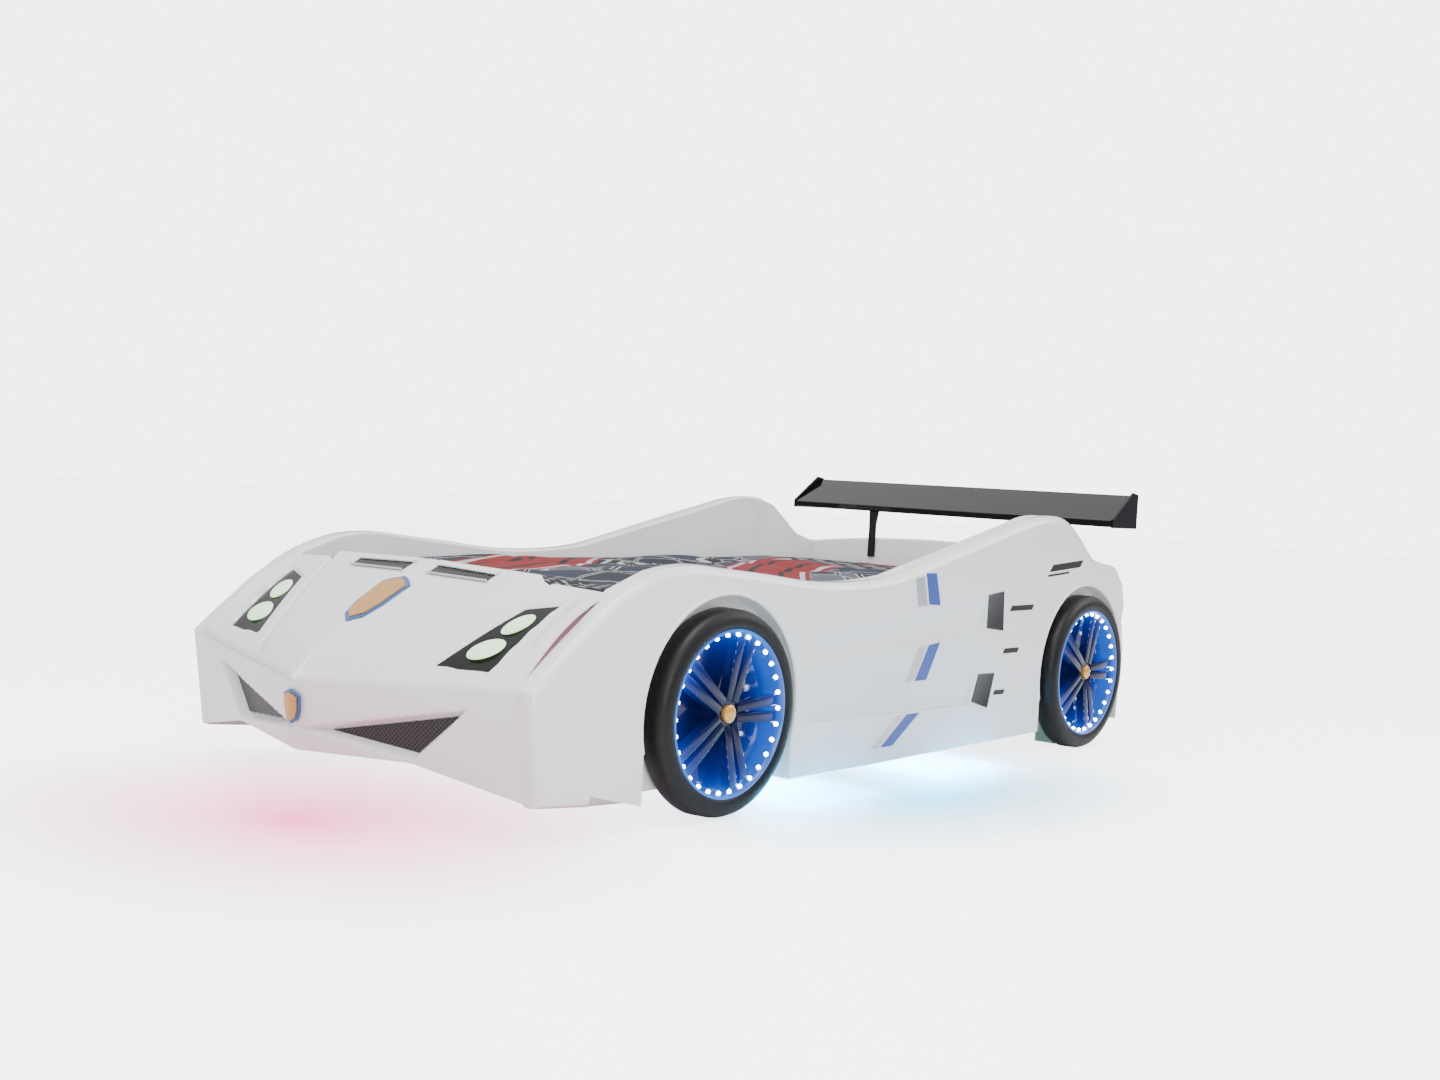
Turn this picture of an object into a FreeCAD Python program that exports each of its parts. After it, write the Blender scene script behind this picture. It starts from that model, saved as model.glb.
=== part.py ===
import FreeCAD, Part
import Sketcher
import os

# Children's bed in the shape of a racing car: moulded shell panels over a timber frame.
# Frame: +Z up from the floor, length along Y with the nose towards -Y, symmetric about X = 0.

SIZES = {
    # overall
    "length": 2312, "flank_half": 521, "panel_depth": 39, "wall": 5,
    # sleeping space
    "foot_y": -838, "head_y": 1020, "liner_thick": 20, "board_thick": 18, "deck_z": 243, "deck_thick": 12,
    "mattress_width": 900, "mattress_height": 150, "quilt_thick": 18, "head_gap": 22, "end_gap": 4,
    # side profile
    "corner_back": 108, "corner_z": 268, "chin_back": 138, "chin_z": 69, "sill_z": 60, "sill_front_z": 46,
    "hood_z": 430, "fender_y": -667, "fender_z": 480, "waist_front_y": -263, "waist_z": 444, "waist_back_y": 20,
    "rise_y": 557, "rise_z": 580, "hump_y": 697, "hump_z": 602, "fall_y": 820, "fall_z": 580,
    "deck_rear_y": 936, "deck_rear_z": 500, "tail_top_y": 1085, "tail_top_z": 474, "tail_mid_z": 250,
    "tail_inset": 16,
    # nose
    "nose_z": 239, "nose_chin_z": 100, "nose_chin_back": 18, "cheek_x": 345, "cheek_back": 81, "cheek_z": 258,
    "cheek_chin_z": 82, "cheek_chin_back": 96, "hood_crown": 10,
    # wheels
    "front_axle": -550, "rear_axle": 906, "wheel_radius": 200, "wheel_width": 60, "wheel_proud": 24,
    "arch_gap": 25, "rim_radius": 160, "rim_wall": 6, "hub_radius": 34, "spoke_width": 30, "cap_radius": 17,
    "led_thick": 4, "led_width": 12,
    # spoiler
    "wing_half": 528, "plate_thick": 6, "wing_front_y": 1006, "wing_back_y": 1150, "wing_z": 580,
    "wing_lip": 17, "wing_rise": 88, "wing_foot": 24, "strut_x": 230, "strut_width": 22, "strut_thick": 8,
    "strut_foot_z": 445,
    # frame
    "rail_height": 60, "rail_width": 60, "leg_size": 60, "leg_setback": 70, "ply_gap": 2,
    # headlights, grilles and vents
    "light_low_in": 268, "light_low_out": 396, "light_up_in": 340, "light_up_out": 411, "light_front": 104,
    "light_front_out": 122, "light_back_in": 252, "light_back_out": 276, "lens_edge": 14,
    "grille_tip_x": 70, "grille_tip_z": 148, "grille_top_x": 345, "grille_top_z": 206, "grille_low_x": 262,
    "grille_low_z": 132, "slit_in": 40, "slit_out": 205, "slit_y": -880, "slit_length": 24,
    "badge_half": 28, "badge_y": -975, "badge_length": 84, "shield_half": 22, "shield_low_z": 152,
    "shield_height": 58, "vent_y": 408, "vent_length": 74, "vent_low_z": 332, "vent_height": 78,
    "duct_y": 372, "duct_length": 72, "duct_low_z": 146, "duct_height": 72, "duct_lean": 24,
    # electrics
    "box_width": 120, "box_depth": 40, "box_height": 80, "box_x": -140, "box_z": 200,
    "inlet_radius": 9, "inlet_x": -140, "inlet_z": 130,
}

doc = FreeCAD.newDocument("race_car_bed")
sheet = doc.addObject("Spreadsheet::Sheet", "Sizes")
for row, (word, number) in enumerate(SIZES.items(), start=1):
    sheet.set(f"A{row}", word)
    sheet.set(f"B{row}", str(number))
    sheet.setAlias(f"B{row}", word)
doc.recompute()


class Size:
    """A length that knows its number and the sheet expression that gives it."""

    def __init__(self, number, text):
        self.number = number
        self.text = text

    def __add__(self, other):
        other = size(other)
        return Size(self.number + other.number, f"({self.text} + {other.text})")

    def __sub__(self, other):
        other = size(other)
        return Size(self.number - other.number, f"({self.text} - {other.text})")

    def __mul__(self, factor):
        return Size(self.number * factor, f"({self.text} * {factor})")

    def __neg__(self):
        return self * -1


def size(value):
    return value if isinstance(value, Size) else Size(value, str(value))


def cell(word):
    return Size(float(sheet.get(word)), "Sizes." + word)


def bind(item, path, value):
    item.setExpression(path, size(value).text)


def place(item, x, y, z):
    for axis, value in zip("xyz", (x, y, z)):
        bind(item, f".Placement.Base.{axis}", value)


def box(label, low, high):
    item = doc.addObject("Part::Box", label)
    bind(item, "Length", high[0] - low[0])
    bind(item, "Width", high[1] - low[1])
    bind(item, "Height", high[2] - low[2])
    place(item, *low)
    return item


def plane_of(body, role):
    return next(feature for feature in body.Origin.OriginFeatures if feature.Role == role)


def outline(body, name, role, offset, points):
    """A closed sketch of straight sides whose corners, given as (across, up), are tied to the sheet."""
    sketch = body.newObject("Sketcher::SketchObject", name)
    sketch.AttachmentSupport = [(plane_of(body, role), "")]
    sketch.MapMode = "FlatFace"
    bind(sketch, ".AttachmentOffset.Base.z", offset)
    corners = [FreeCAD.Vector(size(across).number, size(up).number, 0) for across, up in points]
    for here, there in zip(corners, corners[1:] + corners[:1]):
        sketch.addGeometry(Part.LineSegment(here, there), False)
    for line in range(len(points)):
        before = (line - 1) % len(points)
        sketch.addConstraint(Sketcher.Constraint("Coincident", before, 2, line, 1))
        for kind, value in zip(("DistanceX", "DistanceY"), points[line]):
            distance = Sketcher.Constraint(kind, -1, 1, line, 1, size(value).number)
            index = sketch.addConstraint(distance)
            bind(sketch, f"Constraints[{index}]", value)
    return sketch


PLANES = {
    "YZ_Plane": lambda u, v, w: FreeCAD.Vector(w, u, v),
    "XZ_Plane": lambda u, v, w: FreeCAD.Vector(u, -w, v),
    "XY_Plane": lambda u, v, w: FreeCAD.Vector(u, v, w),
}


def loop(role, offset, points):
    """A closed wire on a plane at offset; a point marked "arc" has an arc run through it."""
    lift = PLANES[role]
    height = size(offset).number
    spots = [lift(size(point[0]).number, size(point[1]).number, height) for point in points]
    edges = []
    for here, point in enumerate(points):
        if len(point) == 3:
            continue
        middle = (here + 1) % len(points)
        if len(points[middle]) == 3:
            there = (here + 2) % len(points)
            edges.append(Part.Arc(spots[here], spots[middle], spots[there]).toShape())
            continue
        edges.append(Part.makeLine(spots[here], spots[middle]))
    return Part.Wire(edges)


def solid(label, shape):
    item = doc.addObject("Part::Feature", label)
    item.Shape = shape
    return item


def prism(label, role, offset, depth, points, inset=None):
    """A solid with one free outline, made smaller by inset all round if one is given."""
    wire = loop(role, offset, points)
    if inset is not None:
        wire = wire.makeOffset2D(-inset.number, 2)
    return solid(label, Part.Face(wire).extrude(PLANES[role](0, 0, size(depth).number)))


def boolean(kind, label, base, tool):
    item = doc.addObject("Part::" + kind, label)
    item.Base = base
    item.Tool = tool
    return item


def fuse(label, items):
    item = doc.addObject("Part::MultiFuse", label)
    item.Shapes = items
    return item


wall = cell("wall")
tail = cell("length") * 0.5
flank = cell("flank_half")
seam = flank - cell("panel_depth")
inner = seam - cell("liner_thick")
foot = cell("foot_y")
head = cell("head_y")
arch = cell("wheel_radius") + cell("arch_gap")
nodes = []


def keep(item):
    nodes.append(item)
    return item


def arch_points(axle, bottom_front, bottom_back):
    """The notch over one wheel: up from the sill, round the arch and back down to the sill."""
    axle_z = cell("wheel_radius")
    shoulder = arch * 0.94
    level = arch * 0.341
    return [
        (axle - shoulder, bottom_front),
        (axle - shoulder, axle_z + level),
        (axle, axle_z + arch, "arc"),
        (axle + shoulder, axle_z + level),
        (axle + shoulder, bottom_back),
    ]


def side_outline():
    sill, front = cell("sill_z"), cell("sill_front_z")
    return (
        [(-tail + cell("chin_back"), cell("chin_z"))]
        + arch_points(cell("front_axle"), front, front)
        + arch_points(cell("rear_axle"), sill, sill)
        + [
            (tail - cell("tail_inset"), sill),
            (tail, cell("tail_mid_z")),
            (cell("tail_top_y"), cell("tail_top_z")),
            (cell("deck_rear_y"), cell("deck_rear_z")),
            (cell("fall_y"), cell("fall_z")),
            (cell("hump_y"), cell("hump_z"), "arc"),
            (cell("rise_y"), cell("rise_z")),
            (cell("waist_back_y"), cell("waist_z") + 12),
            ((cell("waist_back_y") + cell("waist_front_y")) * 0.5, cell("waist_z"), "arc"),
            (cell("waist_front_y"), cell("waist_z")),
            (cell("fender_y") + 110, cell("fender_z") - 6),
            (cell("fender_y") + 20, cell("fender_z"), "arc"),
            (cell("fender_y") - 70, cell("fender_z") - 12),
            (foot, cell("hood_z")),
            (-tail + cell("corner_back"), cell("corner_z")),
        ]
    )


# The two side walls: thin moulded trays, open towards the bed, with a notch over each wheel.
# Each has a mesh vent high up and a duct low down, ahead of the rear wheel, set into its skin.
SIDES = (("left", 1), ("right", -1))


def across(side, low, depth):
    """Where a layer that starts low from the middle plane begins, on either side."""
    return low if side > 0 else -(low + depth)


def slanted(start, length, low, height, lean):
    return [
        (start, low),
        (start + length, low),
        (start + length + lean, low + height),
        (start + lean, low + height),
    ]


for word, side in SIDES:
    depth = cell("panel_depth")
    block = prism(f"side_block_{word}", "YZ_Plane", across(side, seam, depth), depth, side_outline())
    core_start = across(side, seam - wall, depth)
    core = prism(f"side_core_{word}", "YZ_Plane", core_start, depth, side_outline(), wall)
    tray = boolean("Cut", f"side_tray_{word}", block, core)
    vent = slanted(cell("vent_y"), cell("vent_length"), cell("vent_low_z"), cell("vent_height"), size(0))
    duct_lean = cell("duct_lean")
    duct = slanted(cell("duct_y"), cell("duct_length"), cell("duct_low_z"), cell("duct_height"), duct_lean)
    layer = depth - wall * 2
    skin = across(side, flank - layer, layer + wall)
    vent_block = prism(f"vent_block_{word}", "YZ_Plane", skin, layer + wall, vent)
    duct_block = prism(f"duct_block_{word}", "YZ_Plane", skin, layer + wall, duct)
    both = fuse(f"side_blocks_{word}", [vent_block, duct_block])
    keep(boolean("Cut", f"side_panel_{word}", tray, both))
    keep(boolean("Common", f"side_vent_{word}", tray, vent_block))
    keep(boolean("Common", f"side_duct_{word}", tray, duct_block))


# The nose and bonnet: a thin shell lofted across five profiles, pointed at the middle.
def nose_profile(x_cell, inset):
    """Chin, crease and rear edge of the bonnet at one distance from the middle plane."""
    if x_cell == "nose":
        chin = (-tail + cell("nose_chin_back"), cell("nose_chin_z"))
        crease = (-tail, cell("nose_z"))
        crown = cell("hood_z") + cell("hood_crown")
    elif x_cell == "cheek":
        chin = (-tail + cell("cheek_chin_back"), cell("cheek_chin_z"))
        crease = (-tail + cell("cheek_back"), cell("cheek_z"))
        crown = cell("hood_z") + cell("hood_crown") * 0.4
    else:
        chin = (-tail + cell("chin_back"), cell("chin_z"))
        crease = (-tail + cell("corner_back"), cell("corner_z"))
        crown = cell("hood_z")
    if not inset:
        return [(foot, chin[1]), chin, crease, (foot, crown)]
    run = foot + wall
    drop = wall * 1.25
    return [
        (run, chin[1] - wall),
        (chin[0] + wall, chin[1] - wall),
        (crease[0] + wall, crease[1] - wall * 0.6),
        (run, crown - drop + wall * 0.7),
    ]


def nose_loft(name, half, inset):
    stations = (("corner", -half), ("cheek", -cell("cheek_x")), ("nose", size(0)))
    stations += (("cheek", cell("cheek_x")), ("corner", half))
    sections = [loop("YZ_Plane", x, nose_profile(station, inset)) for station, x in stations]
    return solid(name, Part.makeLoft(sections, True, True))


bonnet_outer = nose_loft("bonnet_outer", seam, False)
bonnet_inner = nose_loft("bonnet_inner", seam - wall, True)
bonnet = boolean("Cut", "bonnet_shell", bonnet_outer, bonnet_inner)

# Insets in the bonnet shell: each is the piece of shell inside an upright or level block.
bonnet_blocks = []
front = -tail


def inset_piece(label, block, keep_out=None):
    bonnet_blocks.append(block)
    if keep_out is None:
        return keep(boolean("Common", label, bonnet, block))
    ring = boolean("Cut", label + "_ring", block, keep_out)
    return keep(boolean("Common", label, bonnet, ring))


for word, side in SIDES:
    def light(edge):
        points = [
            (cell("light_low_in") + edge, front + cell("light_front") + edge),
            (cell("light_low_out") - edge, front + cell("light_front_out") + edge),
            (cell("light_up_out") - edge, front + cell("light_back_out") - edge),
            (cell("light_up_in") + edge * 0.4, front + cell("light_back_in") - edge),
        ]
        return [(x * side, y) for x, y in points]
    low = cell("sill_z")
    rise = cell("hood_z")
    block = prism(f"light_block_{word}", "XY_Plane", low + 120, rise, light(size(0)))
    core = prism(f"lens_block_{word}", "XY_Plane", low + 120, rise, light(cell("lens_edge")))
    inset_piece(f"headlight_bezel_{word}", block, core)
    keep(boolean("Common", f"headlight_lens_{word}", bonnet, core))
    grille = [
        (cell("grille_tip_x") * side, cell("grille_tip_z")),
        (cell("grille_top_x") * side, cell("grille_top_z")),
        (cell("grille_low_x") * side, cell("grille_low_z")),
    ]
    reach = cell("corner_back") * 1.4
    block = prism(f"grille_block_{word}", "XZ_Plane", -front - reach + 10, reach, grille)
    inset_piece(f"lower_grille_{word}", block)
    slit = [
        (cell("slit_in") * side, cell("slit_y")),
        (cell("slit_out") * side, cell("slit_y")),
        (cell("slit_out") * side, cell("slit_y") + cell("slit_length")),
        (cell("slit_in") * side, cell("slit_y") + cell("slit_length")),
    ]
    block = prism(f"slit_block_{word}", "XY_Plane", low + 120, rise, slit)
    inset_piece(f"bonnet_vent_{word}", block)

badge_low = cell("badge_y") - cell("badge_length") * 0.5
badge_high = badge_low + cell("badge_length")
badge_block = box(
    "badge_block",
    (-cell("badge_half"), badge_low, cell("sill_z") + 120),
    (cell("badge_half"), badge_high, cell("hood_z") + 120),
)
inset_piece("bonnet_badge", badge_block)
shield_block = box(
    "shield_block",
    (-cell("shield_half"), front - 10, cell("shield_low_z")),
    (cell("shield_half"), front + cell("corner_back"), cell("shield_low_z") + cell("shield_height")),
)
inset_piece("nose_badge", shield_block)
keep(boolean("Cut", "front_fascia", bonnet, fuse("bonnet_blocks", bonnet_blocks)))

# The tail: a shell between the side walls, open below and towards the bed, with a power inlet.
tail_start = head + cell("board_thick")


def tail_points(skin, overrun):
    """The tail's side profile, smaller by skin behind and above and longer by overrun at its open sides."""
    low = cell("sill_z") - overrun
    return [
        (tail_start - overrun, low),
        (tail - cell("tail_inset") - skin, low),
        (tail - skin, cell("tail_mid_z")),
        (cell("tail_top_y") - skin, cell("tail_top_z") - skin),
        (tail_start - overrun, cell("tail_top_z") - skin),
    ]


tail_outer = prism("tail_outer", "YZ_Plane", -seam, seam * 2, tail_points(size(0), size(0)))
tail_inner = prism("tail_inner", "YZ_Plane", wall - seam, (seam - wall) * 2, tail_points(wall, wall))
tail_body = boolean("Cut", "tail_shell", tail_outer, tail_inner)
inlet_block = doc.addObject("Part::Cylinder", "inlet_block")
bind(inlet_block, "Radius", cell("inlet_radius"))
bind(inlet_block, "Height", wall * 8)
inlet_block.Placement.Rotation = FreeCAD.Rotation(FreeCAD.Vector(1, 0, 0), 90)
place(inlet_block, cell("inlet_x"), tail + 5, cell("inlet_z"))
keep(boolean("Cut", "tail_panel", tail_body, inlet_block))
keep(boolean("Common", "power_inlet", tail_body, inlet_block))


# Inner walls of the sleeping space: flat liners beside it, boards at its foot and head.
def liner_points():
    start = head + cell("board_thick")
    return [
        (foot, cell("sill_z")),
        (start, cell("sill_z")),
        (start, cell("tail_top_z")),
        (cell("deck_rear_y"), cell("deck_rear_z")),
        (cell("fall_y"), cell("fall_z")),
        (cell("hump_y"), cell("hump_z"), "arc"),
        (cell("rise_y"), cell("rise_z")),
        (cell("waist_back_y"), cell("waist_z") + 12),
        ((cell("waist_back_y") + cell("waist_front_y")) * 0.5, cell("waist_z"), "arc"),
        (cell("waist_front_y"), cell("waist_z")),
        (cell("fender_y") + 110, cell("fender_z") - 6),
        (cell("fender_y") + 20, cell("fender_z"), "arc"),
        (cell("fender_y") - 70, cell("fender_z") - 12),
        (foot, cell("hood_z")),
    ]


for word, side in SIDES:
    depth = cell("liner_thick")
    keep(prism(f"inner_liner_{word}", "YZ_Plane", across(side, inner, depth), depth, liner_points()))

head_points = [
    (-inner, cell("sill_z")),
    (inner, cell("sill_z")),
    (inner, cell("tail_top_z") + 6),
    (size(0), cell("tail_top_z") + 34, "arc"),
    (-inner, cell("tail_top_z") + 6),
]
keep(prism("headboard_panel", "XZ_Plane", -tail_start, cell("board_thick"), head_points))
footboard_half = seam - wall
footboard_low = (-footboard_half, foot - cell("deck_thick"), cell("chin_z") + 40)
footboard_high = (footboard_half, foot, cell("hood_z") - cell("hood_crown") * 3)
keep(box("footboard_panel", footboard_low, footboard_high))

# Timber frame: two long rails, two cross rails and a middle beam on five legs, under a plywood deck.
rail = cell("rail_width")
rail_top = cell("deck_z")
rail_low = rail_top - cell("rail_height")
for word, side in SIDES:
    start = across(side, inner - rail, rail)
    keep(box(f"side_rail_{word}", (start, foot, rail_low), (start + rail, head, rail_top)))
    legs = (("front", cell("front_axle") + cell("leg_setback")), ("rear", head - rail - cell("leg_size")))
    for place_word, y in legs:
        low = (start, y, size(0))
        high = (start + rail, y + cell("leg_size"), rail_low)
        keep(box(f"leg_{place_word}_{word}", low, high))
keep(box("foot_rail", (-(inner - rail), foot, rail_low), (inner - rail, foot + rail, rail_top)))
keep(box("head_rail", (-(inner - rail), head - rail, rail_low), (inner - rail, head, rail_top)))
beam = rail * 0.5
keep(box("centre_beam", (-beam, foot + rail, rail_low), (beam, head - rail, rail_top)))
middle = (foot + head) * 0.5
keep(box("leg_centre", (-beam, middle - beam, size(0)), (beam, middle + beam, rail_low)))
deck_top = rail_top + cell("deck_thick")
gap = cell("ply_gap")
keep(box("base_board_front", (-inner + gap, foot + gap, rail_top), (inner - gap, middle - gap, deck_top)))
keep(box("base_board_rear", (-inner + gap, middle + gap, rail_top), (inner - gap, head - gap, deck_top)))

# Mattress and quilt: soft pieces that lie on the deck and lift off it.
soft_half = cell("mattress_width") * 0.5
soft_start = foot + cell("end_gap")
soft_end = head - cell("head_gap")
mattress_low = deck_top + 0.5
mattress_top = mattress_low + cell("mattress_height")
keep(box("mattress", (-soft_half, soft_start, mattress_low), (soft_half, soft_end, mattress_top)))
quilt_half = inner - gap * 2
quilt_low = mattress_top + 0.5
quilt_high = quilt_low + cell("quilt_thick")
keep(box("quilt", (-quilt_half, soft_start, quilt_low), (quilt_half, soft_end, quilt_high)))


# Wheels: fixed display wheels, each with a tyre, a dished rim with five spokes, a light ring and a cap.
def turned(body, name, points):
    sketch = outline(body, name + "_profile", "XY_Plane", 0, points)
    turn = body.newObject("PartDesign::Revolution", name)
    turn.Profile = sketch
    turn.ReferenceAxis = (sketch, ["H_Axis"])
    turn.Angle = 360
    doc.recompute()
    return turn


def stand(item, side, axle):
    """Puts a wheel piece, made along +X from its inner face, on its axle on either side."""
    if side < 0:
        item.Placement.Rotation = FreeCAD.Rotation(FreeCAD.Vector(0, 0, 1), 180)
    wheel_back = flank + cell("wheel_proud") - cell("wheel_width")
    place(item, wheel_back * side, axle, cell("wheel_radius"))


def ring_points(near, far, low, high):
    return [(near, low), (far, low), (far, high), (near, high)]


width = cell("wheel_width")
radius = cell("wheel_radius")
rim_radius = cell("rim_radius")
rim_inside = rim_radius - cell("rim_wall")
for end, axle in (("front", cell("front_axle")), ("rear", cell("rear_axle"))):
    for word, side in SIDES:
        tyre = doc.addObject("PartDesign::Body", f"tyre_{end}_{word}")
        turned(tyre, f"tyre_turn_{end}_{word}", [
            (size(0), rim_radius),
            (size(0), radius - 8),
            (size(8), radius),
            (width - 16, radius),
            (width - 5, radius - 5),
            (width, radius - 16),
            (width, rim_radius),
        ])
        rim = doc.addObject("PartDesign::Body", f"rim_{end}_{word}")
        back = flank + cell("wheel_proud") - width - seam
        dish = size(8)
        turned(rim, f"rim_turn_{end}_{word}", [
            (-back, size(0)),
            (-back, cell("hub_radius")),
            (size(2), cell("hub_radius")),
            (size(2), rim_radius),
            (width - 4, rim_radius),
            (width - 4, rim_inside),
            (dish, rim_inside),
            (dish, cell("hub_radius")),
            (width - 12, cell("hub_radius")),
            (width - 12, size(0)),
        ])
        half = cell("spoke_width") * 0.5
        spoke = outline(rim, f"spoke_{end}_{word}", "YZ_Plane", dish, [
            (-rim_inside - 2, -half),
            (-cell("hub_radius") + 4, -half * 0.8),
            (-cell("hub_radius") + 4, half * 0.8),
            (-rim_inside - 2, half),
        ])
        pad = rim.newObject("PartDesign::Pad", f"spoke_pad_{end}_{word}")
        pad.Profile = spoke
        bind(pad, "Length", width - dish - 16)
        doc.recompute()
        pattern = rim.newObject("PartDesign::PolarPattern", f"spokes_{end}_{word}")
        pattern.Originals = [pad]
        pattern.Axis = (spoke, ["N_Axis"])
        pattern.Angle = 360
        pattern.Occurrences = 5
        rim.Tip = pattern
        light = doc.addObject("PartDesign::Body", f"light_ring_{end}_{word}")
        light_low = rim_inside - cell("led_thick")
        light_end = width - 4
        light_start = light_end - cell("led_width")
        turned(light, f"light_turn_{end}_{word}", ring_points(light_start, light_end, light_low, rim_inside))
        cap = doc.addObject("PartDesign::Body", f"hub_cap_{end}_{word}")
        turned(cap, f"cap_turn_{end}_{word}", [
            (width - 12, size(0)),
            (width - 12, cell("cap_radius")),
            (width - 6, cell("cap_radius")),
            (width - 4, size(0)),
        ])
        for item in (tyre, rim, light, cap):
            stand(item, side, axle)
            keep(item)

# Rear spoiler: a wedge-shaped wing with an end plate each side, held up by two bent struts.
wing_front, wing_back, wing_z = cell("wing_front_y"), cell("wing_back_y"), cell("wing_z")
wing_top = wing_z + cell("wing_rise")
keep(prism("spoiler_wing", "YZ_Plane", -cell("wing_half"), cell("wing_half") * 2, [
    (wing_front, wing_z),
    (wing_front + cell("wing_foot"), wing_z),
    (wing_back, wing_top - cell("wing_lip")),
    (wing_back, wing_top),
    (wing_back - 12, wing_top),
    (wing_front, wing_z + cell("wing_lip")),
]))
for word, side in SIDES:
    depth = cell("plate_thick")
    keep(prism(f"spoiler_end_{word}", "YZ_Plane", across(side, cell("wing_half"), depth), depth, [
        (wing_front, wing_z - 2),
        (wing_back, wing_z - 2),
        (wing_back, wing_top + 3),
        (wing_back - 32, wing_top + 8),
        (wing_front, wing_z + cell("wing_lip") + 4),
    ]))
    strut_start = cell("strut_x") if side > 0 else -cell("strut_x") - cell("strut_width")
    face = head - cell("strut_thick")
    keep(prism(f"spoiler_strut_{word}", "YZ_Plane", strut_start, cell("strut_width"), [
        (face, cell("strut_foot_z")),
        (head, cell("strut_foot_z")),
        (head, wing_z - 40),
        (wing_front + cell("wing_foot"), wing_z),
        (wing_front + 4, wing_z),
        (face, wing_z - 40),
    ]))

box_low = (cell("box_x"), tail_start, cell("box_z"))
box_high = (
    cell("box_x") + cell("box_width"),
    tail_start + cell("box_depth"),
    cell("box_z") + cell("box_height"),
)
keep(box("control_box", box_low, box_high))

doc.recompute()
for item in doc.Objects:
    if "Invalid" in item.State or "Error" in item.State:
        raise RuntimeError(f"{item.Label} failed: {item.State}")
for item in nodes:
    if item.Shape.isNull() or not item.Shape.isValid() or item.Shape.Volume <= 0:
        raise RuntimeError(f"{item.Label} has no valid solid")
os.makedirs("parts", exist_ok=True)
for item in nodes:
    item.Shape.exportStep(f"parts/{item.Label}.step")
    print(item.Label, len(item.Shape.Solids), round(item.Shape.Volume / 1000))
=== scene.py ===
import bpy
import math
from mathutils import Matrix, Vector, noise


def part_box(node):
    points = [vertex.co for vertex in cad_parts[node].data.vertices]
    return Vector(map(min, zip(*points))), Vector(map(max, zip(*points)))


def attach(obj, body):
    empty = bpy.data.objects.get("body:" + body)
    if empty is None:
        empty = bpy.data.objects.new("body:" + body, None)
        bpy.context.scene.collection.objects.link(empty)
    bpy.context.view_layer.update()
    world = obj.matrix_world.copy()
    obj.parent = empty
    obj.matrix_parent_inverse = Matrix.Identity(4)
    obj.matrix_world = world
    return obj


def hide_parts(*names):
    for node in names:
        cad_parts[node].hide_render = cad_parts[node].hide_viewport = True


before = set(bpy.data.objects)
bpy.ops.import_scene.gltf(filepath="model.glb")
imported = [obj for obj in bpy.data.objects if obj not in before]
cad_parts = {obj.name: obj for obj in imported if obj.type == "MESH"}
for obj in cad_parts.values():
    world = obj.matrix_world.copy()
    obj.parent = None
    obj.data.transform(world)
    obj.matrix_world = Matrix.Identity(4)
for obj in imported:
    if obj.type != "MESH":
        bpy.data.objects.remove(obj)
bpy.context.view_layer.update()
bpy.ops.object.select_all(action="DESELECT")

# Studio: a pale floor, a bright even surround and four soft panels of light.
# Four small coloured panels under the body and pools of pink and blue light painted into the floor make the
# pink and blue glow.
bpy.ops.mesh.primitive_plane_add(size=60)
floor = bpy.context.object
floor.name = "floor"
floor_paint = bpy.data.materials.new("floor_paint")
floor_paint.use_nodes = True
floor_shader = floor_paint.node_tree.nodes["Principled BSDF"]
floor_shader.inputs["Roughness"].default_value = 0.35
floor_tree = floor_paint.node_tree


def floor_glow(centre, spread, tint, under):
    """Paints a pool of coloured light over what is under it round a spot on the floor, fading with distance.
    """
    spot = floor_tree.nodes.new("ShaderNodeMapping")
    spot.vector_type = "TEXTURE"
    spot.inputs["Location"].default_value = (*centre, 0)
    spot.inputs["Scale"].default_value = (*spread, 1)
    ball = floor_tree.nodes.new("ShaderNodeTexGradient")
    ball.gradient_type = "SPHERICAL"
    blend = floor_tree.nodes.new("ShaderNodeMix")
    blend.data_type = "RGBA"
    blend.inputs[7].default_value = (*tint, 1)
    floor_tree.links.new(floor_place.outputs["Object"], spot.inputs["Vector"])
    floor_tree.links.new(spot.outputs[0], ball.inputs[0])
    floor_tree.links.new(ball.outputs["Fac"], blend.inputs[0])
    if under is None:
        blend.inputs[6].default_value = (1, 1, 1, 1)
    else:
        floor_tree.links.new(under, blend.inputs[6])
    return blend.outputs[2]


floor_place = floor_tree.nodes.new("ShaderNodeTexCoord")
# painted light: a pink pool ahead of the nose and blue pools beside both flanks, in the floor's emission and
# base colour
painted_pink_light = floor_glow((0.10, -1.20), (0.78, 0.58), (0.60, 0.12, 0.30), None)
painted_cyan_light = floor_glow((0.66, 0.02), (0.42, 0.80), (0.05, 0.36, 0.56), painted_pink_light)
glow = floor_glow((-0.66, 0.02), (0.42, 0.80), (0.07, 0.40, 0.58), painted_cyan_light)
seen = floor_tree.nodes.new("ShaderNodeLightPath")
brighten = floor_tree.nodes.new("ShaderNodeMath")
brighten.operation = "MULTIPLY"
brighten.inputs[1].default_value = 3.4
floor_tree.links.new(seen.outputs["Is Camera Ray"], brighten.inputs[0])
floor_tree.links.new(brighten.outputs[0], floor_shader.inputs["Emission Strength"])
floor_tree.links.new(glow, floor_shader.inputs["Emission Color"])
floor_tree.links.new(glow, floor_shader.inputs["Base Color"])
floor.data.materials.append(floor_paint)

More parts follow.
